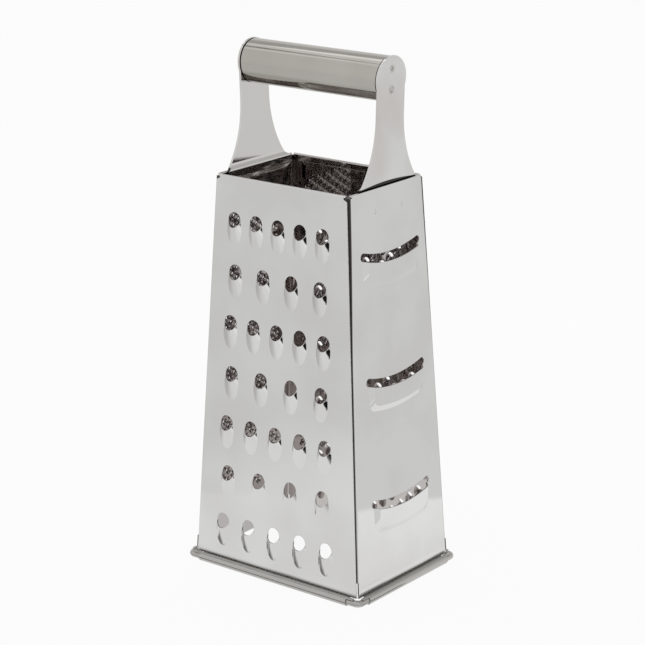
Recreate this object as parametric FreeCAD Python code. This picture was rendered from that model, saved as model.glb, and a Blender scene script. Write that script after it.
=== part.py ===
import FreeCAD, Part
import math
import os

# A four-sided box grater of thin steel sheet, with a wired foot and a tube handle on two legs.
# Millimetres, +Z up. The origin is on the floor under the middle of the body.
# The front panel faces -Y, and the handle runs along X.

V = FreeCAD.Vector

# Body, over the outer faces of the panels
body_height = 179.2
base_width = 94.5
base_depth = 68.0
top_width = 74.2
top_depth = 54.1
sheet = 0.5

# Wired foot: each panel's lower edge curls round a ring of wire
wire_diameter = 3.0
wire_fit = 0.05
wire_corner = 2.2
curl_end_angle = 100.0
curl_setback = 4.6
tread = 0.12
corner_lift = 0.1

# Hem: the rim is folded inwards and down
hem_gap = 0.5
hem_drop = 2.6
hem_setback = 1.9
corner_notch = 1.7

# Corner seams: flanges of the side panels lie behind the front and back panels
seam_gap = 1.0
bend_radius = 1.0
bend_land = 1.0
flange_width = 3.2
flange_foot_inset = 7.0
flange_rim_relief = 0.4
flange_hem_gap = 0.4

# Noses: the cone's apex is this share of the hole's diameter back from the lip
nose_apex_share = 1.07

# Front panel: coarse shredding holes in rows of five and four
coarse_hole = 6.8
coarse_rise = 1.6
coarse_nose = 8.9
coarse_nose_width = 7.5
coarse_first_drop = 19.4
coarse_row_pitch = 23.62
coarse_foot_margin = 15.0
coarse_shift = -1.2
coarse_counts = (5, 4)
coarse_span_shares = (0.645, 0.604)

# Right panel: slicing slots with a raised scoop under each
slot_span = 42.6
slot_gap = 3.7
slot_sag = 2.8
slot_first_drop = 32.8
slot_pitch = 55.9
slot_foot_margin = 22.0
slot_shift = 0.6
scoop_inset = 1.2
scoop_drop = 10.8
scoop_rise = 1.9
scoop_toe_rise = 1.2
scoop_corner = 4.5
scoop_side_bevel = 2.2
scoop_toe_bevel = 2.6

# Back panel: fine shredding holes in staggered rows
fine_hole = 2.2
fine_rise = 1.1
fine_nose = 4.4
fine_nose_width = 4.2
fine_first_drop = 22.0
fine_row_pitch = 4.6
fine_foot_margin = 13.0
fine_shift = 0.0
fine_counts = (7, 6)
fine_span_shares = (0.69, 0.575)

# Left panel: rasp burrs in staggered rows
burr_root = 3.7
burr_tip = 2.1
burr_height = 1.0
burr_bore = 1.5
burr_dimple = 3.4
burr_pitch = 6.4
burr_row_pitch = 2.3
burr_first_drop = 17.6
burr_foot_margin = 21.0
burr_side_margin = 9.6

# Handle
tube_diameter = 19.8
tube_wall = 0.6
tube_end_gap = 0.6
handle_rise = 46.2
handle_shift = 1.4
shoulder_proud = 0.1
leg_gauge = 1.0
leg_bend = 1.0
leg_slant_angle = 45.0
leg_splay_angle = 1.8
leg_clearance = 0.1
head_margin = 0.3
neck_share = 0.93
shoulder_width = 38.2
flare_share = 0.7
foot_side_gap = 5.0
foot_jog_drop = 2.0
foot_tab_drop = 15.0
foot_chamfer = 5.0
cup_gauge = 0.6
cup_depth = 7.0
cup_fit = 0.05

# Spot-weld marks, shallow round dents
weld_diameter = 2.2
weld_depth = 0.1
weld_drop = 10.0
weld_spacing = 18.9
head_weld_spacing = 9.2

# How far every cutting tool runs past the metal, and past a burr or a sheet as a share of it
overrun = 6.0
overrun_share = 0.2

# Heights that the sizes give
wire_radius = wire_diameter / 2
curl_bore = wire_radius + wire_fit
wire_z = curl_bore + sheet - tread
foot_z = wire_z + wire_radius + corner_lift
rim_z = foot_z + body_height
axis_z = rim_z + handle_rise
tube_radius = tube_diameter / 2
head_radius = tube_radius + head_margin
shoulder_reach = top_width / 2 + shoulder_proud
foot_width = top_depth - 2 * foot_side_gap


def half_width(z):
    return (base_width + (top_width - base_width) * (z - foot_z) / body_height) / 2


def half_depth(z):
    return (base_depth + (top_depth - base_depth) * (z - foot_z) / body_height) / 2


def fitting_count(room, pitch):
    return int(room / pitch) + 1


def spot(centre, radius, angle):
    return centre[0] + radius * math.cos(angle), centre[1] + radius * math.sin(angle)


# A closed outline: each step is one point for a line, or a middle and an end for an arc
def outline(start, steps, place):
    edges = []
    here = place(*start)
    for step in steps:
        points = [place(*point) for point in step]
        if len(points) == 1:
            edges.append(Part.makeLine(here, points[0]))
        else:
            edges.append(Part.Arc(here, points[0], points[1]).toShape())
        here = points[-1]
    return Part.Wire(edges)


def polygon(points, place):
    return outline(points[-1], [[point] for point in points], place)


def prism(wire, run):
    return Part.Face(wire).extrude(run)


def mirrored(shape):
    return shape.mirror(V(0, 0, 0), V(1, 0, 0))


def nearest_edge(shape, point):
    return min(shape.Edges, key=lambda edge: edge.CenterOfMass.distanceToPoint(point))


# A panel is modelled facing -Y, and turned to its side of the body at the end.
# reach is its outer face's distance from the middle, span is half the body across it.
class Side:
    def __init__(self, reach, span, edge_gap):
        self.reach = reach
        self.span = span
        self.edge_gap = edge_gap
        self.lean = math.atan2(reach(foot_z) - reach(rim_z), body_height)
        self.gauge = sheet * math.cos(self.lean)
        self.hem_bore = hem_gap / 2
        self.hem_radius = self.hem_bore + self.gauge
        hem_z = rim_z - self.hem_radius
        self.hem_centre = (reach(hem_z) - self.hem_radius / math.cos(self.lean), hem_z)
        self.wire_reach = reach(wire_z) + curl_bore / math.cos(self.lean)
        self.length = math.hypot(body_height, reach(foot_z) - reach(rim_z))

    def edge(self, z):
        return self.span(z) - self.edge_gap

    def onto_face(self, shape):
        turn = FreeCAD.Rotation(V(1, 0, 0), 90 - math.degrees(self.lean))
        seat = FreeCAD.Placement(V(0, -self.reach(foot_z), foot_z), turn)
        placed = shape.copy()
        placed.Placement = seat.multiply(placed.Placement)
        return placed


def in_section(out, z):
    return V(0, -out, z)


def in_face(across, z):
    return V(across, 0, z)


front_side = Side(half_depth, half_width, seam_gap)
flank_side = Side(half_width, half_depth, sheet)


# The plate and its foot curl, as one section across the panel
def plate_section(side):
    centre = (side.wire_reach, wire_z)
    outer = curl_bore + side.gauge
    start = math.pi + side.lean
    end = 2 * math.pi + math.radians(curl_end_angle)
    middle = (start + end) / 2
    top = side.lean
    return outline(spot(side.hem_centre, side.hem_radius, top), [
        [spot(centre, curl_bore, start)],
        [spot(centre, curl_bore, middle), spot(centre, curl_bore, end)],
        [spot(centre, outer, end)],
        [spot(centre, outer, middle), spot(centre, outer, start)],
        [spot(side.hem_centre, side.hem_bore, top)],
        [spot(side.hem_centre, side.hem_radius, top)],
    ], in_section)


def hem_section(side):
    centre, bore, outer = side.hem_centre, side.hem_bore, side.hem_radius
    near, over, far = side.lean, side.lean + math.pi / 2, side.lean + math.pi
    down = side.lean - math.pi / 2
    return outline(spot(centre, outer, near), [
        [spot(centre, bore, near)],
        [spot(centre, bore, over), spot(centre, bore, far)],
        [spot(spot(centre, bore, far), hem_drop, down)],
        [spot(spot(centre, outer, far), hem_drop, down)],
        [spot(centre, outer, far)],
        [spot(centre, outer, over), spot(centre, outer, near)],
    ], in_section)


# A section drawn out over the whole panel, and cut at both ends to an outline of the end
def drawn_out(section, side, end_points):
    half = side.span(foot_z) + overrun
    whole = prism(section.translated(V(-half, 0, 0)), V(2 * half, 0, 0))
    depth = side.reach(foot_z) + overrun
    far = half + overrun
    points = end_points + [(far, end_points[-1][1]), (far, end_points[0][1])]
    tool = prism(polygon(points, in_face), V(0, -2 * depth, 0))
    return whole.cut([tool, mirrored(tool)])


def plate_end(side, flange_range):
    curl_end = side.span(foot_z) - curl_setback
    points = [(curl_end, -overrun), (curl_end, foot_z), (side.edge(foot_z), foot_z)]
    if flange_range:
        low, high = flange_range
        back = bend_radius + bend_land
        points += [(side.edge(low), low), (side.edge(low) - back, low)]
        return points + [(side.edge(high) - back, high), (side.edge(high) - back, rim_z + overrun)]
    notch_z = side.hem_centre[1] - corner_notch
    points += [(side.edge(notch_z), notch_z)]
    points += [(side.edge(rim_z) - corner_notch, notch_z + corner_notch / 2)]
    return points + [(side.edge(rim_z) - corner_notch, rim_z + overrun)]


def hem_end(side):
    tip = side.span(rim_z) - hem_setback
    low = rim_z - side.hem_radius - hem_drop
    return [(tip - hem_drop - overrun, low - overrun), (tip - hem_drop, low),
            (tip, low + hem_drop), (tip, rim_z + overrun)]


# A block between two heights whose four upright faces lean with the body
def leaning_block(low, high, across, out):
    corners = []
    for z in (low, high):
        u0, u1 = across(z)
        o0, o1 = out(z)
        corners.append([V(u0, -o0, z), V(u1, -o0, z), V(u1, -o1, z), V(u0, -o1, z)])
    bottom, top = corners
    faces = [bottom, top]
    for i in range(len(bottom)):
        j = (i + 1) % len(bottom)
        faces.append([bottom[i], bottom[j], top[j], top[i]])
    shell = Part.Shell([Part.Face(Part.makePolygon(face + face[:1])) for face in faces])
    return Part.Solid(shell)


# The room that the slanted end of the next panel's hem takes from a flange
def hem_room(side):
    points = [(out + flange_hem_gap, z) for out, z in hem_end(front_side)]
    deep = points[0][0] - flange_width - overrun
    points += [(deep, points[-1][1]), (deep, points[0][1])]
    half = side.span(foot_z) + overrun
    return prism(polygon(points, in_section).translated(V(-half, 0, 0)), V(2 * half, 0, 0))


def corner_flange(side, low, high):
    back = bend_radius + bend_land

    def outer_across(z):
        return side.edge(z) - back, side.edge(z)

    def outer_out(z):
        return side.reach(z) - flange_width, side.reach(z)

    def inner_across(z):
        return side.edge(z) - back - overrun, side.edge(z) - sheet

    def inner_out(z):
        return side.reach(z) - flange_width - overrun, side.reach(z) - sheet

    middle = (low + high) / 2
    outer = leaning_block(low, high, outer_across, outer_out)
    ridge = V(side.edge(middle), -side.reach(middle), middle)
    outer = outer.makeFillet(bend_radius, [nearest_edge(outer, ridge)])
    inner = leaning_block(low - overrun, high + overrun, inner_across, inner_out)
    groove = V(side.edge(middle) - sheet, -side.reach(middle) + sheet, middle)
    inner = inner.makeFillet(bend_radius - sheet, [nearest_edge(inner, groove)])
    return outer.cut([inner, hem_room(side)])


# The bent sheet of a panel before it is punched
def panel_blank(side, flanged):
    flange_range = None
    if flanged:
        flange_range = (foot_z + flange_foot_inset, side.hem_centre[1] - flange_rim_relief)
    plate = drawn_out(plate_section(side), side, plate_end(side, flange_range))
    pieces = [drawn_out(hem_section(side), side, hem_end(side))]
    if flanged:
        flange = corner_flange(side, *flange_range)
        pieces += [flange, mirrored(flange)]
    blank = plate.multiFuse(pieces)
    half = side.span(foot_z) + overrun
    depth = side.reach(foot_z) + 2 * overrun
    floor = Part.makeBox(2 * half, depth, overrun, V(-half, -depth, -overrun))
    return blank.cut(floor).removeSplitter()


def punched(blank, side, raised, openings):
    raised = [side.onto_face(shape) for shape in raised]
    openings = [side.onto_face(shape) for shape in openings]
    swollen = blank.multiFuse(raised) if raised else blank
    return swollen.cut(Part.makeCompound(openings))


# A round hole with a nose: a cone whose crest falls from the hole's lip to the sheet, and whose apex
# is above the hole. On the face, x runs across, y up and z outwards, from the hole's middle.
def nose(hole, width, rise, length, gauge):
    radius = hole / 2
    crown = ((width / 2) ** 2 + rise ** 2) / (2 * rise)
    back = nose_apex_share * hole
    fall = math.atan2(rise, length)
    spread = math.atan2(crown, back)
    dive = fall + spread
    apex = V(0, back * math.cos(fall) - radius, rise + back * math.sin(fall))
    axis = V(0, -math.cos(dive), -math.sin(dive))
    tall = back + 2 * length
    half = width + length

    def cone(sink):
        return Part.makeCone(0, tall * math.tan(spread), tall, apex + axis * sink, axis)

    def above(top, floor):
        return Part.makeBox(2 * half, top + tall, tall, V(-half, -tall, floor))

    raised = cone(0).common(above(0, -gauge / 2))
    hollow = cone(gauge / math.sin(spread)).common(above(tall, -(1 + overrun_share) * gauge))
    bore = Part.makeCylinder(radius, 2 * overrun, V(0, 0, -overrun))
    return raised, bore.fuse(hollow)


def copies(shape, places):
    return [shape.translated(V(across, up, 0)) for across, up in places]


def weld_dent():
    return Part.makeCylinder(weld_diameter / 2, weld_depth + overrun, V(0, 0, -weld_depth))


def panel_weld_places(side):
    up = side.length - weld_drop
    return [(weld_spacing / 2, up), (-weld_spacing / 2, up)]


# Places of holes in rows that spread out with the panel, with two counts by turns
def row_places(side, first_drop, row_pitch, foot_margin, shift, counts, span_shares):
    room = side.length - first_drop - foot_margin
    places = []
    for row in range(fitting_count(room, row_pitch)):
        up = side.length - first_drop - row * row_pitch
        kind = row % len(counts)
        spread = side.span(foot_z + up) * span_shares[kind]
        for i in range(counts[kind]):
            across = spread * (2 * i / (counts[kind] - 1) - 1)
            places.append((shift + across, up))
    return places


def front_panel():
    side = front_side
    places = row_places(side, coarse_first_drop, coarse_row_pitch, coarse_foot_margin,
                        coarse_shift, coarse_counts, coarse_span_shares)
    raised, opening = nose(coarse_hole, coarse_nose_width, coarse_rise, coarse_nose, side.gauge)
    return punched(panel_blank(side, False), side, copies(raised, places), copies(opening, places))


def back_panel():
    side = front_side
    places = row_places(side, fine_first_drop, fine_row_pitch, fine_foot_margin,
                        fine_shift, fine_counts, fine_span_shares)
    raised, opening = nose(fine_hole, fine_nose_width, fine_rise, fine_nose, side.gauge)
    return punched(panel_blank(side, False), side, copies(raised, places), copies(opening, places))


# The scoop under a slot: a shallow tray raised from the sheet, with bevelled sides and toe
def scoop(inset, sink):
    bow = slot_sag / (slot_span / 2) ** 2

    def tray(half, drop, corner, lip_level, toe_level):
        def at(across, up):
            level = toe_level + (lip_level - toe_level) * (up + drop) / drop
            return V(across, up, level)

        flat = half - corner
        top = bow * half * half + slot_gap / 2
        low = bow * flat * flat - drop
        soft = corner * (1 - math.sqrt(0.5))
        return outline((-half, top), [
            [(0, slot_gap / 2), (half, top)],
            [(half, low + corner)],
            [(half - soft, low + soft), (flat, low)],
            [(0, -drop), (-flat, low)],
            [(soft - half, low + soft), (-half, low + corner)],
            [(-half, top)],
        ], at)

    half = slot_span / 2 - scoop_inset - inset
    drop = scoop_drop - inset
    root = tray(half, drop, scoop_corner, -sink, -sink)
    roof = tray(half - scoop_side_bevel, drop - scoop_toe_bevel, scoop_corner,
                scoop_rise - sink, scoop_toe_rise - sink)
    return Part.makeLoft([root, roof], True, True)


def slot_opening():
    half = (slot_span - slot_gap) / 2
    end = half + slot_gap / 2

    def at(across, up):
        return V(across, up, -overrun)

    wire = outline((-half, slot_sag), [
        [(0, 0), (half, slot_sag)],
        [(end, slot_sag + slot_gap / 2), (half, slot_sag + slot_gap)],
        [(0, slot_gap), (-half, slot_sag + slot_gap)],
        [(-end, slot_sag + slot_gap / 2), (-half, slot_sag)],
    ], at)
    return prism(wire, V(0, 0, 2 * overrun))


def right_panel():
    side = flank_side
    room = side.length - slot_first_drop - slot_foot_margin
    places = []
    for row in range(fitting_count(room, slot_pitch)):
        places.append((slot_shift, side.length - slot_first_drop - row * slot_pitch))
    raised = copies(scoop(0, 0), places)
    hollows = copies(scoop(side.gauge, side.gauge), places)
    slots = copies(slot_opening(), places)
    dents = copies(weld_dent(), panel_weld_places(side))
    return punched(panel_blank(side, True), side, raised, hollows + slots + dents)


def left_panel():
    side = flank_side
    room = side.length - burr_first_drop - burr_foot_margin
    places = []
    for row in range(fitting_count(room, burr_row_pitch)):
        up = side.length - burr_first_drop - row * burr_row_pitch
        half_room = side.span(foot_z + up) - burr_side_margin
        stagger = (row % 2) * burr_pitch / 2
        count = int((half_room - stagger) / burr_pitch)
        for i in range(-count - row % 2, count + 1):
            places.append((stagger + i * burr_pitch, up))
    sunk = side.gauge / 2
    burr = Part.makeCone(burr_root / 2, burr_tip / 2, burr_height + sunk, V(0, 0, -sunk))
    ease = overrun_share * burr_height
    deep = burr_height + side.gauge
    flare = ease * (burr_dimple - burr_bore) / 2 / deep
    hole = Part.makeCone(burr_dimple / 2 + flare, burr_bore / 2 - flare, deep + 2 * ease,
                         V(0, 0, -side.gauge - ease))
    dents = copies(weld_dent(), panel_weld_places(side))
    openings = copies(hole, places) + dents
    return punched(panel_blank(side, True), side, copies(burr, places), openings)


# One closed ring of wire: four straight runs and four round corners
def base_wire():
    half_x = flank_side.wire_reach
    half_y = front_side.wire_reach
    pieces = []
    for turn in range(4):
        along, out = (half_x, half_y) if turn % 2 == 0 else (half_y, half_x)
        run = along - wire_corner
        straight = Part.makeCylinder(wire_radius, 2 * run, V(-run, -out, wire_z), V(1, 0, 0))
        bend = Part.makeTorus(wire_corner, wire_radius, V(0, 0, 0), V(0, 0, 1), -180, 180, 90)
        bend.rotate(V(0, 0, 0), V(0, 0, 1), -90)
        bend.translate(V(run, wire_corner - out, wire_z))
        for piece in (straight, bend):
            piece.rotate(V(0, 0, 0), V(0, 0, 1), 90 * turn)
            pieces.append(piece)
    return pieces[0].multiFuse(pieces[1:]).removeSplitter()


# Points of a bent strip's other face, one thickness to the right of the way that it runs
def offset_right(points, thickness):
    lines = []
    for (x0, z0), (x1, z1) in zip(points, points[1:]):
        length = math.hypot(x1 - x0, z1 - z0)
        dx, dz = (x1 - x0) / length, (z1 - z0) / length
        lines.append((x0 + dz * thickness, z0 - dx * thickness, dx, dz))
    moved = [lines[0][:2]]
    for (ax, az, adx, adz), (bx, bz, bdx, bdz) in zip(lines, lines[1:]):
        step = ((bx - ax) * bdz - (bz - az) * bdx) / (adx * bdz - adz * bdx)
        moved.append((ax + adx * step, az + adz * step))
    (x0, z0), (x1, z1) = points[-2:]
    length = math.hypot(x1 - x0, z1 - z0)
    moved.append((points[-1][0] + (z1 - z0) / length * thickness,
                  points[-1][1] - (x1 - x0) / length * thickness))
    return moved


# Steps of an outline along points whose corners are rounded, left and right turns by two radii
def rounded_steps(points, left_radius, right_radius):
    steps = []
    for before, here, after in zip(points, points[1:], points[2:]):
        arriving = math.atan2(here[1] - before[1], here[0] - before[0])
        leaving = math.atan2(after[1] - here[1], after[0] - here[0])
        turn = math.remainder(leaving - arriving, 2 * math.pi)
        radius = left_radius if turn > 0 else right_radius
        cut = radius * math.tan(abs(turn) / 2)
        sagitta = radius / math.cos(turn / 2) - radius
        inward = (arriving + leaving + math.copysign(math.pi, turn)) / 2
        steps.append([spot(here, -cut, arriving)])
        steps.append([spot(here, sagitta, inward), spot(here, cut, leaving)])
    return steps + [[points[-1]]]


# The leg's slanting stretch clears the hem
def on_slant(x):
    side = flank_side
    slant = math.radians(leg_slant_angle)
    over_x, over_z = spot(side.hem_centre, side.hem_radius + leg_clearance, slant + math.pi / 2)
    return x, over_z + (x - over_x) * math.tan(slant)


# The leg's outer face above its shoulder splays outwards
def leg_reach(z):
    shoulder_z = on_slant(shoulder_reach)[1]
    return shoulder_reach + (z - shoulder_z) * math.tan(math.radians(leg_splay_angle))


# The bent profile of a leg, from its head down to its weld tab, on the outer face.
# Below the slant the foot drops behind the hem, and the tab lies on the panel.
def leg_points():
    side = flank_side
    hem_x, hem_z = side.hem_centre
    behind_x = hem_x - side.hem_radius - leg_clearance
    top_z = axis_z + head_radius + overrun
    jog_z = hem_z - hem_drop - leg_clearance
    tab_z = jog_z - foot_jog_drop
    end_z = rim_z - foot_tab_drop
    return [(leg_reach(top_z), top_z), on_slant(shoulder_reach),
            on_slant(behind_x), (behind_x, jog_z),
            (side.reach(tab_z) - sheet, tab_z), (side.reach(end_z) - sheet, end_z)]


def in_profile(x, z):
    return V(x, 0, z)


def in_elevation(y, z):
    return V(0, y, z)


def right_leg():
    face = leg_points()
    back = offset_right(face, leg_gauge)
    steps = rounded_steps(face, leg_bend, leg_bend + leg_gauge) + [[back[-1]]]
    steps += rounded_steps(back[::-1], leg_bend + leg_gauge, leg_bend) + [[face[0]]]
    half = foot_width / 2
    strip = prism(outline(face[0], steps, in_profile), V(0, 2 * half, 0)).translated(V(0, -half, 0))

    shoulder_z, strap_z, jog_z, end_z = face[1][1], face[2][1], face[3][1], face[5][1]
    neck, shoulder = neck_share * head_radius, shoulder_width / 2
    neck_z = axis_z - math.sqrt(head_radius ** 2 - neck ** 2)
    flare_height = flare_share * (neck_z - shoulder_z)
    flare_z = shoulder_z + flare_height
    flare_radius = ((shoulder - neck) ** 2 + flare_height ** 2) / (2 * (shoulder - neck))
    sweep = math.asin(flare_height / flare_radius) / 2
    bow_y, bow_z = spot((neck + flare_radius, flare_z), flare_radius, math.pi + sweep)
    tab = half - foot_chamfer
    shape = outline((-neck, neck_z), [
        [(0, axis_z + head_radius), (neck, neck_z)],
        [(neck, flare_z)],
        [(bow_y, bow_z), (shoulder, shoulder_z)],
        [(half, strap_z)],
        [(half, jog_z)],
        [(tab, jog_z - foot_chamfer)],
        [(tab, end_z - overrun)],
        [(-tab, end_z - overrun)],
        [(-tab, jog_z - foot_chamfer)],
        [(-half, jog_z)],
        [(-half, strap_z)],
        [(-shoulder, shoulder_z)],
        [(-bow_y, bow_z), (-neck, flare_z)],
        [(-neck, neck_z)],
    ], in_elevation)
    leg = strip.common(prism(shape, V(face[0][0] + overrun, 0, 0)))
    dents = []
    for z in (axis_z + head_weld_spacing / 2, axis_z - head_weld_spacing / 2):
        dent = weld_dent()
        dent.rotate(V(0, 0, 0), V(0, 1, 0), 90 + leg_splay_angle)
        dents.append(dent.translated(V(leg_reach(z), 0, z)))
    return leg.cut(dents)


# The room between the legs, its ends set in from their outer faces
def between_legs(inset):
    side_step = inset / math.cos(math.radians(leg_splay_angle))
    low, high = axis_z - head_radius - overrun, axis_z + head_radius + overrun
    low_x, high_x = leg_reach(low) - side_step, leg_reach(high) - side_step
    points = [(-low_x, low), (low_x, low), (high_x, high), (-high_x, high)]
    half = head_radius + overrun
    return prism(polygon(points, in_profile), V(0, 2 * half, 0)).translated(V(0, -half, 0))


def round_bar(radius, start_x):
    length = leg_reach(axis_z + head_radius) + overrun - start_x
    return Part.makeCylinder(radius, length, V(start_x, 0, axis_z), V(1, 0, 0))


def handle_tube():
    start_x = -leg_reach(axis_z + head_radius) - overrun
    outer = round_bar(tube_radius, start_x).common(between_legs(leg_gauge + tube_end_gap))
    return outer.cut(round_bar(tube_radius - tube_wall, start_x))


def right_end_cup():
    radius = tube_radius - tube_wall - cup_fit
    start_x = leg_reach(axis_z) - leg_gauge - cup_depth
    outer = round_bar(radius, start_x).common(between_legs(leg_gauge))
    hollow = round_bar(radius - cup_gauge, start_x - overrun)
    return outer.cut(hollow.common(between_legs(leg_gauge + cup_gauge)))


def turned(shape, angle):
    shape = shape.copy()
    shape.rotate(V(0, 0, 0), V(0, 0, 1), angle)
    return shape


# The handle sits a little behind the middle of the body
def shifted(shape):
    return shape.translated(V(0, handle_shift, 0))


pieces = {
    "front_panel": front_panel(),
    "right_panel": turned(right_panel(), 90),
    "back_panel": turned(back_panel(), 180),
    "left_panel": turned(left_panel(), 270),
    "base_wire": base_wire(),
    "right_leg": shifted(right_leg()),
    "left_leg": shifted(turned(right_leg(), 180)),
    "handle_tube": shifted(handle_tube()),
    "right_end_cup": shifted(right_end_cup()),
    "left_end_cup": shifted(turned(right_end_cup(), 180)),
}

os.makedirs("parts", exist_ok=True)
for name, shape in pieces.items():
    solid = shape.Solids[0]
    print(name, len(shape.Solids), "solid", shape.isValid(), round(solid.Volume), "mm3")
    solid.exportStep("parts/" + name + ".step")
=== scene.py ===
# %% [markdown]
# # A box grater, dressed for its picture
#
# The solids come from the imported CAD model. This lesson sets the camera and a plain studio,
# and gives each piece of bent steel its finish. It starts by loading the model as a fixed frame.

# %% Load the frame
import math

import bpy
from mathutils import Matrix, Vector


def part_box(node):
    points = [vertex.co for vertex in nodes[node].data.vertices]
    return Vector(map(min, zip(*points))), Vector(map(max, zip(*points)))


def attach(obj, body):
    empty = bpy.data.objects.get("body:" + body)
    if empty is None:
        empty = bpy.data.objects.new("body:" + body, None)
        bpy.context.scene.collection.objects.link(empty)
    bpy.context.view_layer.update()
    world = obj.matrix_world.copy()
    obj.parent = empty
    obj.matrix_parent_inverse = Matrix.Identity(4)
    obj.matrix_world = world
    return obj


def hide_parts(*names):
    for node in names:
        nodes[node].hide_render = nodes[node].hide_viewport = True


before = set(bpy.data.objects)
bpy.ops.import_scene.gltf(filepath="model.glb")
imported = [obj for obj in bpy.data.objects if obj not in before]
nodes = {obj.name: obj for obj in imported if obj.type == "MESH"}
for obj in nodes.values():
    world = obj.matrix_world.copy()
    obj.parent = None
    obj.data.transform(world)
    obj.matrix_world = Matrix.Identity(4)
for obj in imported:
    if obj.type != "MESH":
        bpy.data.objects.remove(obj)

scene = bpy.context.scene
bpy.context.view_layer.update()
print("pieces:", ", ".join(sorted(nodes)))

# %% [markdown]
# ## The camera
#
# A camera can be placed by eye, or solved from the edges that a picture shows. Here the angles, the
# distance and the lens were solved from the corners of the body, so the render lies on the photograph.
# The camera looks at a point a little above the middle of the body, from the right and from above.

# %% Place the camera
azimuth = math.radians(38.258)
elevation = math.radians(16.898)
roll = math.radians(-0.316)
lens_mm = 126.54
sensor_mm = 36.0
nearest, farthest = 0.05, 50.0
distance = 1.0255
aim_height = 0.0925
aim_right = 0.00097
aim_up = 0.0206

back = Vector((
    math.sin(azimuth) * math.cos(elevation),
    -math.cos(azimuth) * math.cos(elevation),
    math.sin(elevation),
))
level_right = Vector((math.cos(azimuth), math.sin(azimuth), 0.0))
level_up = back.cross(level_right)
right = math.cos(roll) * level_right + math.sin(roll) * level_up
up = math.cos(roll) * level_up - math.sin(roll) * level_right

camera_data = bpy.data.cameras.new("camera")
camera_data.lens = lens_mm
camera_data.sensor_width = sensor_mm
camera_data.clip_start = nearest
camera_data.clip_end = farthest
camera = bpy.data.objects.new("camera", camera_data)
scene.collection.objects.link(camera)
target = Vector((0.0, 0.0, aim_height)) + aim_right * right + aim_up * up
turned = Matrix((right, up, back)).transposed().to_4x4()
camera.matrix_world = Matrix.Translation(target + distance * back) @ turned
scene.camera = camera
print("camera at", [round(x, 3) for x in camera.location])

# %% [markdown]
# ## Writing shader maths
#
# A finish is a small sum: some noise, a mask, a mix. In the node editor that is a web of Math nodes.
# Written as a Python expression it stays short, so one class wraps a socket and overloads the operators,
# and one method adds any other node. A value that is the same all over stays on the shader's own socket.

# %% Sockets that add and multiply
class Wire:
    def __init__(self, finish, socket):
        self.finish = finish
        self.socket = socket

    def maths(self, operation, *values):
        return self.finish.node("ShaderNodeMath", {"operation": operation}, dict(enumerate(values)))

    def __add__(self, other):
        return self.maths("ADD", self, other)

    def __sub__(self, other):
        return self.maths("SUBTRACT", self, other)

    def __rsub__(self, other):
        return self.maths("SUBTRACT", other, self)

    def __mul__(self, other):
        return self.maths("MULTIPLY", self, other)

    def __abs__(self):
        return self.maths("ABSOLUTE", self)

    def __lt__(self, other):
        return self.maths("LESS_THAN", self, other)

    def __gt__(self, other):
        return self.maths("GREATER_THAN", self, other)

    __radd__ = __add__
    __rmul__ = __mul__


print("operators ready")

# %% [markdown]
# ## Making nodes
#
# A material and a world both own a node tree, so one class serves for both. Its first method makes a node,
# sets its settings and then fills its sockets. The others are shorthand for the nodes that come often:
# noise, a smooth step between two values, a mix of two colours, and the place on the object.

# %% One method that makes a node
class Finish:
    def __init__(self, owner):
        owner.use_nodes = True
        self.tree = owner.node_tree
        self.tree.nodes.clear()

    def node(self, kind, settings, inputs, output=0):
        made = self.tree.nodes.new(kind)
        for name, value in settings.items():
            if name == "stops":
                ramp = made.color_ramp.elements
                halfway = 0.5
                while len(ramp) < len(value):
                    ramp.new(halfway)
                for stop, (place, colour) in zip(ramp, value):
                    stop.position = place
                    stop.color = (*colour, 1.0)
            else:
                setattr(made, name, value)
        for name, value in inputs.items():
            if isinstance(value, Wire):
                self.tree.links.new(value.socket, made.inputs[name])
            else:
                made.inputs[name].default_value = value
        return Wire(self, made.outputs[output]) if made.outputs else None

    def noise(self, where, scale, detail):
        sockets = {"Vector": where, "Scale": scale, "Detail": detail}
        return self.node("ShaderNodeTexNoise", {}, sockets, "Fac")

    def between(self, value, low, high):
        sockets = {"Value": value, "From Min": low, "From Max": high}
        return self.node("ShaderNodeMapRange", {"interpolation_type": "SMOOTHSTEP"}, sockets)

    def mix(self, share, first, second):
        return self.node("ShaderNodeMix", {"data_type": "RGBA"}, {0: share, 6: first, 7: second}, 2)

    def stretched(self, where, scale):
        return self.node("ShaderNodeMapping", {}, {"Vector": where, "Scale": scale})

    def object_place(self):
        return self.node("ShaderNodeTexCoord", {}, {}, "Object")

    def parts(self, vector):
        first = self.node("ShaderNodeSeparateXYZ", {}, {"Vector": vector}, "X")
        return [Wire(self, socket) for socket in first.socket.node.outputs]


print("node maker ready")

# %% [markdown]
# ## The table
#
# Bright steel has hardly any colour of its own: it shows the room. Product pictures of it are taken on
# a white table in a white tent, with a few cards that draw the edges. A large disc is table enough.
# The camera sees it as white, and it still takes the object's soft shadow.

# %% A round table
table_radius, table_corners = 6.0, 96

bpy.ops.object.select_all(action="DESELECT")
bpy.ops.mesh.primitive_circle_add(vertices=table_corners, radius=table_radius, fill_type="NGON")
floor = bpy.context.object
floor.name = "table"
print("table", floor.dimensions[:])

# %% [markdown]
# ## What the steel sees of the table
#
# The reflections in the photograph suggest that the table isn't equally bright: it is light close to the
# grater and in front of it, greyer farther off and greyest to the left. A dark line along the front half of
# the foot stands for the shade under the object's edge. Each pair of numbers, in metres, is where a zone
# begins to change and where it has changed.

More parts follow.
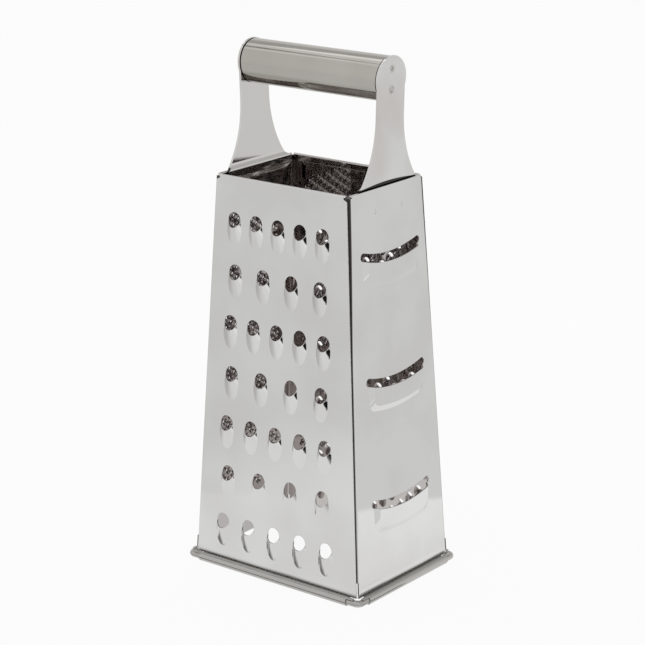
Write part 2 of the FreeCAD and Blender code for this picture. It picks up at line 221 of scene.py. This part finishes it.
# %% The table's greys
white = (1.0, 1.0, 1.0, 1.0)
near_table = (0.90, 0.90, 0.895, 1.0)
far_table = (0.79, 0.79, 0.785, 1.0)
dim_table = (0.60, 0.59, 0.58, 1.0)
shade_table = (0.16, 0.155, 0.15, 1.0)
matt_table = (0.82, 0.82, 0.82, 1.0)
glow_share = 0.93
ring_edge = (0.150, 0.158)
white_x = (0.04, 0.08)
front_x, front_y = (-0.17, -0.05), (-0.07, -0.02)
left_x, left_y = (-0.20, -0.13), (-0.22, -0.10)
shade_starts, shade_ends = (0.0015, 0.0040), (0.0050, 0.0110)

table_paint = bpy.data.materials.new("white_table")
paint = Finish(table_paint)
place = paint.object_place()
across, deep, _ = paint.parts(place)
reach = paint.node("ShaderNodeVectorMath", {"operation": "LENGTH"}, {0: place}, "Value")
beyond = paint.between(reach, *ring_edge)
in_front = paint.between(across, *front_x) * (1.0 - paint.between(deep, *front_y))
left_end = (1.0 - paint.between(across, *left_x)) * paint.between(deep, *left_y)
table_tone = paint.mix(paint.between(across, *white_x), near_table, white)
table_tone = paint.mix(beyond * (1.0 - in_front), table_tone, far_table)
table_tone = paint.mix(beyond * left_end, table_tone, dim_table)

foot_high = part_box("base_wire")[1]
outside_x, outside_y = abs(across) - foot_high[0], abs(deep) - foot_high[1]
beside = outside_x.maths("MAXIMUM", outside_x, outside_y)
shaded = paint.between(beside, *shade_starts) * (1.0 - paint.between(beside, *shade_ends)) * (deep < 0.0)
table_tone = paint.mix(shaded, table_tone, shade_table)
print("table tones:", len(paint.tree.nodes), "nodes")

# %% [markdown]
# ## Two faces of one table
#
# The camera sees the table glow white, and the steel sees it glow in the tones above. To any other ray it
# is matt paint. A small share of matt paint stays in what the camera sees too, and it catches the shadow.
# The Light Path node tells one ray from another.

# %% Glow and matt paint
ray = paint.node("ShaderNodeLightPath", {}, {}, "Is Camera Ray")
glossy = Wire(paint, ray.socket.node.outputs["Is Glossy Ray"])
through = Wire(paint, ray.socket.node.outputs["Is Transmission Ray"])
tone = paint.mix(ray, table_tone, white)
glow = paint.node("ShaderNodeEmission", {}, {"Color": tone, "Strength": 1.0})
matt = paint.node("ShaderNodeBsdfDiffuse", {}, {"Color": matt_table})
lit = paint.node("ShaderNodeMixShader", {}, {0: glow_share * (ray + glossy + through), 1: matt, 2: glow})
paint.node("ShaderNodeOutputMaterial", {}, {"Surface": lit})
floor.data.materials.append(table_paint)
print("table painted with", table_paint.name)

# %% [markdown]
# ## The tent
#
# A light tent has pale walls and a roof. The tube's upper side shows the roof: a white strip, a dark seam
# and a grey back. A world can hold all that, because a tent is far away next to the grater. Its direction
# is a unit vector, so the pairs of numbers here have no unit. The camera sees the tent as plain white.

# %% The white tent
wall_stops = [
    (0.0, (0.80, 0.80, 0.79)),
    (0.30, (0.82, 0.81, 0.80)),
    (0.60, (0.80, 0.80, 0.79)),
]
roof_grey = (0.56, 0.56, 0.55, 1.0)
seam_grey = (0.22, 0.22, 0.22, 1.0)
roof_height = (0.45, 0.6)
roof_back = (0.10, 0.25)
seam_front, seam_back = (-0.16, -0.08), (0.10, 0.20)
strip_front, strip_back = (-0.30, -0.27), (-0.20, -0.17)

world = bpy.data.worlds.new("white_tent")
scene.world = world
tent = Finish(world)
direction = tent.node("ShaderNodeTexCoord", {}, {}, "Generated")
_, deep, height = tent.parts(direction)
overhead = tent.between(height, *roof_height)
seam = tent.between(deep, *seam_front) * (1.0 - tent.between(deep, *seam_back))
strip = tent.between(deep, *strip_front) * (1.0 - tent.between(deep, *strip_back))
sky = tent.node("ShaderNodeValToRGB", {"stops": wall_stops}, {"Fac": height})
sky = tent.mix(overhead * tent.between(deep, *roof_back), sky, roof_grey)
sky = tent.mix(overhead * seam, sky, seam_grey)
sky = tent.mix(overhead * strip, sky, white)
camera_ray = tent.node("ShaderNodeLightPath", {}, {}, "Is Camera Ray")
seen = tent.mix(camera_ray, sky, white)
backdrop = tent.node("ShaderNodeBackground", {}, {"Color": seen, "Strength": 1.0})
tent.node("ShaderNodeOutputWorld", {}, {"Surface": backdrop})
print("tent:", world.name)

# %% [markdown]
# ## Cards
#
# Photographers hold up cards to put a dark or a pale shape into a shiny side. A dark one draws the black
# crescents beside the holes, and a pale one in front of it keeps the slicing slots light. A plane will do.
# The card fades at its edges, so that no hard rectangle shows, and only reflections see it.

# %% A dark card and a pale card
fade_sideways, fade_upwards = (0.36, 0.5), (0.30, 0.5)


def card(name, left, right, low, high, deep, grey):
    bpy.ops.object.select_all(action="DESELECT")
    bpy.ops.mesh.primitive_plane_add(size=1.0)
    made = bpy.context.object
    made.name = name
    middle = Vector(((left + right) / 2, deep, (low + high) / 2))
    facing = Vector((0.0, 1.0, 0.0)).to_track_quat("Z", "Y")
    made.matrix_world = Matrix.LocRotScale(middle, facing, Vector((right - left, high - low, 1.0)))
    made.visible_camera = False
    made.visible_shadow = False
    made.visible_diffuse = False
    felt = bpy.data.materials.new(name)
    cloth = Finish(felt)
    sideways, upwards, _ = cloth.parts(cloth.object_place())
    shown_across = 1.0 - cloth.between(abs(sideways), *fade_sideways)
    shown_up = 1.0 - cloth.between(abs(upwards), *fade_upwards)
    shade = cloth.mix(shown_across * shown_up, far_table, (grey, grey, grey, 1.0))
    plain = cloth.node("ShaderNodeEmission", {}, {"Color": shade, "Strength": 1.0})
    cloth.node("ShaderNodeOutputMaterial", {}, {"Surface": plain})
    made.data.materials.append(felt)
    print(name, [round(size, 3) for size in made.dimensions])


card("dark_card", left=0.038, right=0.112, low=0.005, high=0.215, deep=-0.100, grey=0.01)
card("pale_card", left=0.048, right=0.125, low=0.0, high=0.200, deep=-0.045, grey=0.80)

# %% [markdown]
# ## A lamp
#
# The tent lights everything evenly. One weak area lamp above gives the shadow on the table a little
# direction, and a large lamp keeps that shadow's edge soft.

# %% A soft lamp
lamp_width, lamp_depth, lamp_watts = 0.9, 0.5, 1.0
lamp_place = Vector((-0.35, 0.25, 1.1))
lamp_target = Vector((0.0, 0.0, 0.12))

lamp_data = bpy.data.lights.new("soft_lamp", "AREA")
lamp_data.shape = "RECTANGLE"
lamp_data.size = lamp_width
lamp_data.size_y = lamp_depth
lamp_data.energy = lamp_watts
lamp = bpy.data.objects.new("soft_lamp", lamp_data)
scene.collection.objects.link(lamp)
lamp_turn = (lamp_place - lamp_target).to_track_quat("Z", "Y")
lamp.matrix_world = Matrix.LocRotScale(lamp_place, lamp_turn, None)
print("lamp at", lamp_place[:])

# %% [markdown]
# ## The steel sheet
#
# The four panels are punched from bright stainless sheet. It isn't flat: rolling and punching leave slow
# waves, which bend the reflections, and the pressed edges are a little rounded and catch the light.
# Inside, the sheet has a darker, browner tone, partly its own tone and partly painted shade for the dim
# inside of the body, and the curl along the foot is duller than the plate above it.
# Geometry could carry the waves, but a bump is enough for so shallow a form. First come the numbers.

# %% Tones and sizes of the steel
bead_tone = (0.50, 0.49, 0.475, 1.0)
# The next two tones are painted shade: the first darkens creases and corner folds, the second the gap under
# the legs.
painted_shade_tone = (0.06, 0.055, 0.05, 1.0)
gap_shade_tone = (0.02, 0.018, 0.016, 1.0)
weld_tone = (0.36, 0.34, 0.31, 1.0)
bead_rougher, weld_rougher, shade_rougher = 0.18, 0.2, 0.3

blotch_scale, blotch_detail, blotch_range = 26.0, 3.0, (0.35, 0.65)
smear_scale, smear_detail, smear_range = 60.0, 4.0, (0.45, 0.85)
scratch_scale, scratch_detail, scratch_range = 1.0, 3.0, (0.4, 0.7)
speck_scale, speck_detail, speck_range = 1400.0, 2.0, (0.35, 0.60)
wave_scale, wave_detail = 22.0, 1.0
even_share, smear_share, scratch_share = 0.8, 0.6, 0.4
upright_grain = (700.0, 700.0, 25.0)
lengthwise_grain = (25.0, 900.0, 900.0)

bead_top = (0.0040, 0.0060)
crease_shade_samples, crease_shade_open = 16, (0.35, 0.80)
bevel_samples = 6
rim_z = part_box("right_panel")[1][2]
print("rim at", round(rim_z, 4))

# %% [markdown]
# ## The corner folds, the foot and the legs
#
# The flanks are folded round the body's corners, and along the seam there a painted dark shade line widens to
# the rim.
# Over the curl at the foot the panels flare a little. The legs bow out above the rim, and where they cross
# it a painted dark shade stands for the gap under them. Two spot welds hold each leg's head, and they are
# slightly scorched.

# %% Where those places are
foot_half_depth, rim_half_depth, foot_z = 0.0340, 0.02705, 0.0035
corner_slope = (foot_half_depth - rim_half_depth) / (rim_z - foot_z)
corner_foot = foot_half_depth + corner_slope * foot_z
fold_shade_edge = (0.0005, 0.0009)
rear_fold_shade_wider, top_fold_shade_wider, top_fold_shade_heights = 0.0006, 0.0007, (0.10, 0.18)

flare_rise, flare_heights = 1.5, (0.0032, 0.0075)

bow_rise, bow_heights = 5.5, (rim_z - 0.010, rim_z + 0.022)
gap_shade_top, gap_shade_arch, gap_shade_edge = rim_z + 0.0021, 3.5, (-0.0002, 0.0002)

tube_low, tube_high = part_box("handle_tube")
axis_y, axis_z = (tube_low[1] + tube_high[1]) / 2, (tube_low[2] + tube_high[2]) / 2
head_weld_spacing, weld_radii = 0.0092, (0.0008, 0.0026)
head_welds = [(axis_y, axis_z + head_weld_spacing / 2), (axis_y, axis_z - head_weld_spacing / 2)]
print("welds at", [[round(x, 4) for x in weld] for weld in head_welds])

# %% [markdown]
# ## One class for every steel
#
# Each finish starts as a colour, a roughness and a bump over the whole piece. Then come the marks: each is
# a mask by place, which stains the colour with real scorch or darkens it as painted shade, and dulls the
# surface, or a slow rise in the bump. A separate material for each piece would repeat most of this, so a
# class holds it, and a piece asks for its marks.

# %% Steel and its marks
class Steel(Finish):
    def __init__(self, name, light, dark, rough, inside_tone_and_shade, inside_rough, grain):
        self.material = bpy.data.materials.new(name)
        super().__init__(self.material)
        self.place = self.object_place()
        across, self.deep, self.height = self.parts(self.place)
        facing_x, facing_y, _ = self.parts(self.node("ShaderNodeNewGeometry", {}, {}, "True Normal"))
        inside = (facing_x * across + facing_y * self.deep) < 0.0
        self.outside = 1.0 - inside
        self.plate = self.between(self.height, *bead_top)

        blotch = self.between(self.noise(self.place, blotch_scale, blotch_detail), *blotch_range)
        # Inside faces take the inside tone, which is partly the sheet's own tone and partly painted shade for
        # the dim inside of the body and the tube's ends.
        tint = self.mix(inside, self.mix(blotch, light, dark), inside_tone_and_shade)
        self.colour = self.mix(self.plate, bead_tone, tint)

        smear = self.between(self.noise(self.place, smear_scale, smear_detail), *smear_range)
        drawn = self.stretched(self.place, grain)
        scratch = self.between(self.noise(drawn, scratch_scale, scratch_detail), *scratch_range)
        worn = rough * (even_share + smear_share * smear + scratch_share * scratch)
        self.roughness = worn + inside * (inside_rough - rough) + bead_rougher * (1.0 - self.plate)
        self.waves = self.noise(self.place, wave_scale, wave_detail) * self.plate

    # Darkens the colour under a mask: real scorch at the welds, painted shade in creases, folds and the gap
    # under the legs.
    def stain_and_shade(self, mask, tone, rougher=0.0):
        self.colour = self.mix(mask, self.colour, tone)
        if rougher:
            self.roughness = self.roughness + rougher * mask

    # Painted shade: ambient occlusion over a short reach darkens the colour in crevices on the outside of the
    # plate, where shade falls.
    def add_painted_crease_shade(self, reach):
        sockets = {"Distance": reach}
        open_air = self.node("ShaderNodeAmbientOcclusion", {"samples": crease_shade_samples}, sockets, "AO")
        crease_shade = (1.0 - self.between(open_air, *crease_shade_open)) * self.plate * self.outside
        self.stain_and_shade(crease_shade, painted_shade_tone)

    # Painted shade: a dark band along the corner folds of the flanks, wider at the back and towards the rim,
    # which also dulls the surface.
    def add_painted_fold_shade(self):
        to_corner = corner_foot - corner_slope * self.height - abs(self.deep)
        to_corner = to_corner - rear_fold_shade_wider * (self.deep > 0.0)
        to_corner = to_corner - top_fold_shade_wider * self.between(self.height, *top_fold_shade_heights)
        fold_shade = (1.0 - self.between(to_corner, *fold_shade_edge)) * self.plate * self.outside
        self.stain_and_shade(fold_shade, painted_shade_tone, shade_rougher)

    def add_foot_flare(self):
        self.waves = self.waves + flare_rise * (1.0 - self.between(self.height, *flare_heights))

    def add_welds(self, welds):
        scorch = 0.0
        for weld_y, weld_z in welds:
            aside, above = self.deep - weld_y, self.height - weld_z
            squares = aside * aside + above * above
            scorch = scorch + (1.0 - self.between(squares.maths("SQRT", squares), *weld_radii))
        specks = self.between(self.noise(self.place, speck_scale, speck_detail), *speck_range)
        self.stain_and_shade(scorch * specks, weld_tone, weld_rougher)

    # The bow is a bump; the gap under the leg is painted shade, a near-black band on the leg's outside just
    # above the rim.
    def add_leg_bow_and_gap_shade(self):
        self.waves = self.waves - bow_rise * self.between(self.height, *bow_heights)
        above_gap = self.height - (gap_shade_top - gap_shade_arch * self.deep * self.deep)
        gap_shade = (1.0 - self.between(above_gap, *gap_shade_edge)) * self.outside
        self.stain_and_shade(gap_shade, gap_shade_tone, shade_rougher)

    def done(self, wave_height, edge_radius):
        bump = {"Strength": 1.0, "Distance": wave_height, "Height": self.waves}
        if edge_radius:
            bump["Normal"] = self.node("ShaderNodeBevel", {"samples": bevel_samples}, {"Radius": edge_radius})
        waved = self.node("ShaderNodeBump", {}, bump)
        shader = self.node("ShaderNodeBsdfPrincipled", {}, {
            "Base Color": self.colour, "Metallic": 1.0, "Roughness": self.roughness, "Normal": waved})
        self.node("ShaderNodeOutputMaterial", {}, {"Surface": shader})
        print(self.material.name, "has", len(self.tree.nodes), "nodes")
        return self.material


def dress(material, *names):
    for name in names:
        shown = nodes[name].data.materials
        shown.clear()
        shown.append(material)


print("steel ready")

# %% [markdown]
# ## The panels
#
# All four panels are one kind of sheet. The front and the back lie between the flanks, so only the flanks
# have the painted dark shade at the folds. The rasp side has hundreds of small burrs. It gets a duller
# inside, and no rounded edges in the shader, because those would blur such small forms.

# %% Panel steel
panel_light = (0.735, 0.735, 0.73, 1.0)
panel_dark = (0.685, 0.68, 0.67, 1.0)
panel_inside = (0.58, 0.55, 0.54, 1.0)
rasp_inside = (0.52, 0.49, 0.48, 1.0)
panel_rough, panel_inside_rough, rasp_inside_rough = 0.06, 0.045, 0.07
panel_crease_shade_reach, panel_wave, panel_edge, no_edge = 0.0009, 0.0004, 0.0004, 0.0


def panel_sheet(name, inside_tone_and_shade, inside_rough, edge_radius, fold_shaded):
    sheet = Steel(name, panel_light, panel_dark, panel_rough, inside_tone_and_shade, inside_rough, upright_grain)
    # Painted shade in the crevices.
    sheet.add_painted_crease_shade(panel_crease_shade_reach)
    if fold_shaded:
        sheet.add_painted_fold_shade()
    sheet.add_foot_flare()
    return sheet.done(panel_wave, edge_radius)


panel_steel = panel_sheet("panel_sheet", panel_inside, panel_inside_rough, panel_edge, fold_shaded=False)
dress(panel_steel, "front_panel", "back_panel")
flank_steel = panel_sheet("flank_sheet", panel_inside, panel_inside_rough, panel_edge, fold_shaded=True)
dress(flank_steel, "right_panel")
rasp_steel = panel_sheet("rasp_sheet", rasp_inside, rasp_inside_rough, no_edge, fold_shaded=True)

# %% [markdown]
# ## The rasp side
#
# With all its pierced burrs, the rasp's solid has slightly more triangles than a piece should have here.
# A copy stands for it. Its doubled points are merged and the normals from the CAD file are cleared, because
# they would no longer fit. A Decimate modifier then thins it by a few hundredths, which leaves the burrs
# sharp, and the smooth faces are found again by their angle.

# %% Thin the rasp
merge_distance, kept_share, smooth_degrees = 0.000001, 0.94, 30.0

bpy.ops.object.select_all(action="DESELECT")
rasp = bpy.data.objects.new("rasp_panel", nodes["left_panel"].data.copy())
scene.collection.objects.link(rasp)
rasp.select_set(True)
bpy.context.view_layer.objects.active = rasp
bpy.ops.object.mode_set(mode="EDIT")
bpy.ops.mesh.select_all(action="SELECT")
bpy.ops.mesh.remove_doubles(threshold=merge_distance)
bpy.ops.object.mode_set(mode="OBJECT")
bpy.ops.mesh.customdata_custom_splitnormals_clear()
thinner = rasp.modifiers.new("thinner", "DECIMATE")
thinner.ratio = kept_share
bpy.ops.object.modifier_apply(modifier=thinner.name)
bpy.ops.object.shade_smooth_by_angle(angle=math.radians(smooth_degrees))
rasp.data.materials.clear()
rasp.data.materials.append(rasp_steel)
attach(rasp, "root")
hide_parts("left_panel")
print("rasp triangles:", len(nodes["left_panel"].data.polygons), "to", len(rasp.data.polygons))

# %% [markdown]
# ## The legs
#
# The legs are pressed from a slightly warmer sheet, and they bow out above the rim. The bow is so slight
# that only its reflection shows, so it is a rise in the bump. The gap below it is painted dark as shade, as
# in the photograph, and the painted shade follows the leg's foot in a low arch.

# %% Leg steel
leg_light = (0.755, 0.755, 0.75, 1.0)
leg_dark = (0.675, 0.65, 0.63, 1.0)
leg_inside = (0.69, 0.675, 0.66, 1.0)
leg_rough, leg_crease_shade_reach, leg_wave, leg_edge = 0.07, 0.0025, 0.0003, 0.0003

leg_steel = Steel("leg_sheet", leg_light, leg_dark, leg_rough, leg_inside, leg_rough, upright_grain)
# Painted shade in the crevices.
leg_steel.add_painted_crease_shade(leg_crease_shade_reach)
leg_steel.add_welds(head_welds)
leg_steel.add_leg_bow_and_gap_shade()
dress(leg_steel.done(leg_wave, leg_edge), "left_leg", "right_leg")

# %% [markdown]
# ## The foot wire and the grip tube
#
# Both are drawn through a die, and the fine scratches follow the tube's length. The wire is dull and shows
# only at the corners of the foot. The tube is browner than the sheet, and the cups inside its ends share
# its steel.

# %% Wire and tube steel
wire_light = (0.54, 0.535, 0.525, 1.0)
wire_dark = (0.50, 0.495, 0.485, 1.0)
wire_inside = (0.50, 0.49, 0.48, 1.0)
wire_rough, wire_wave, wire_edge = 0.2, 0.0001, 0.0001
tube_light = (0.525, 0.51, 0.475, 1.0)
tube_dark = (0.485, 0.47, 0.435, 1.0)
tube_inside = (0.45, 0.43, 0.40, 1.0)
tube_rough, tube_inside_rough, tube_wave, tube_edge = 0.09, 0.15, 0.0003, 0.0002
drawn_crease_shade_reach = 0.0009

wire_steel = Steel("foot_wire", wire_light, wire_dark, wire_rough, wire_inside, wire_rough, lengthwise_grain)
# Painted shade in the crevices.
wire_steel.add_painted_crease_shade(drawn_crease_shade_reach)
dress(wire_steel.done(wire_wave, wire_edge), "base_wire")

tube_steel = Steel("grip_tube", tube_light, tube_dark, tube_rough, tube_inside, tube_inside_rough,
                   lengthwise_grain)
# Painted shade in the crevices.
tube_steel.add_painted_crease_shade(drawn_crease_shade_reach)
dress(tube_steel.done(tube_wave, tube_edge), "handle_tube", "left_end_cup", "right_end_cup")

# %% [markdown]
# ## Bounces and view
#
# Light goes from wall to wall many times inside the body, so more bounces than usual are allowed. The view
# transform is Standard, so a colour shows about as it is written.

# %% Finish
scene.cycles.max_bounces = 32
scene.cycles.glossy_bounces = 24
scene.view_settings.view_transform = "Standard"
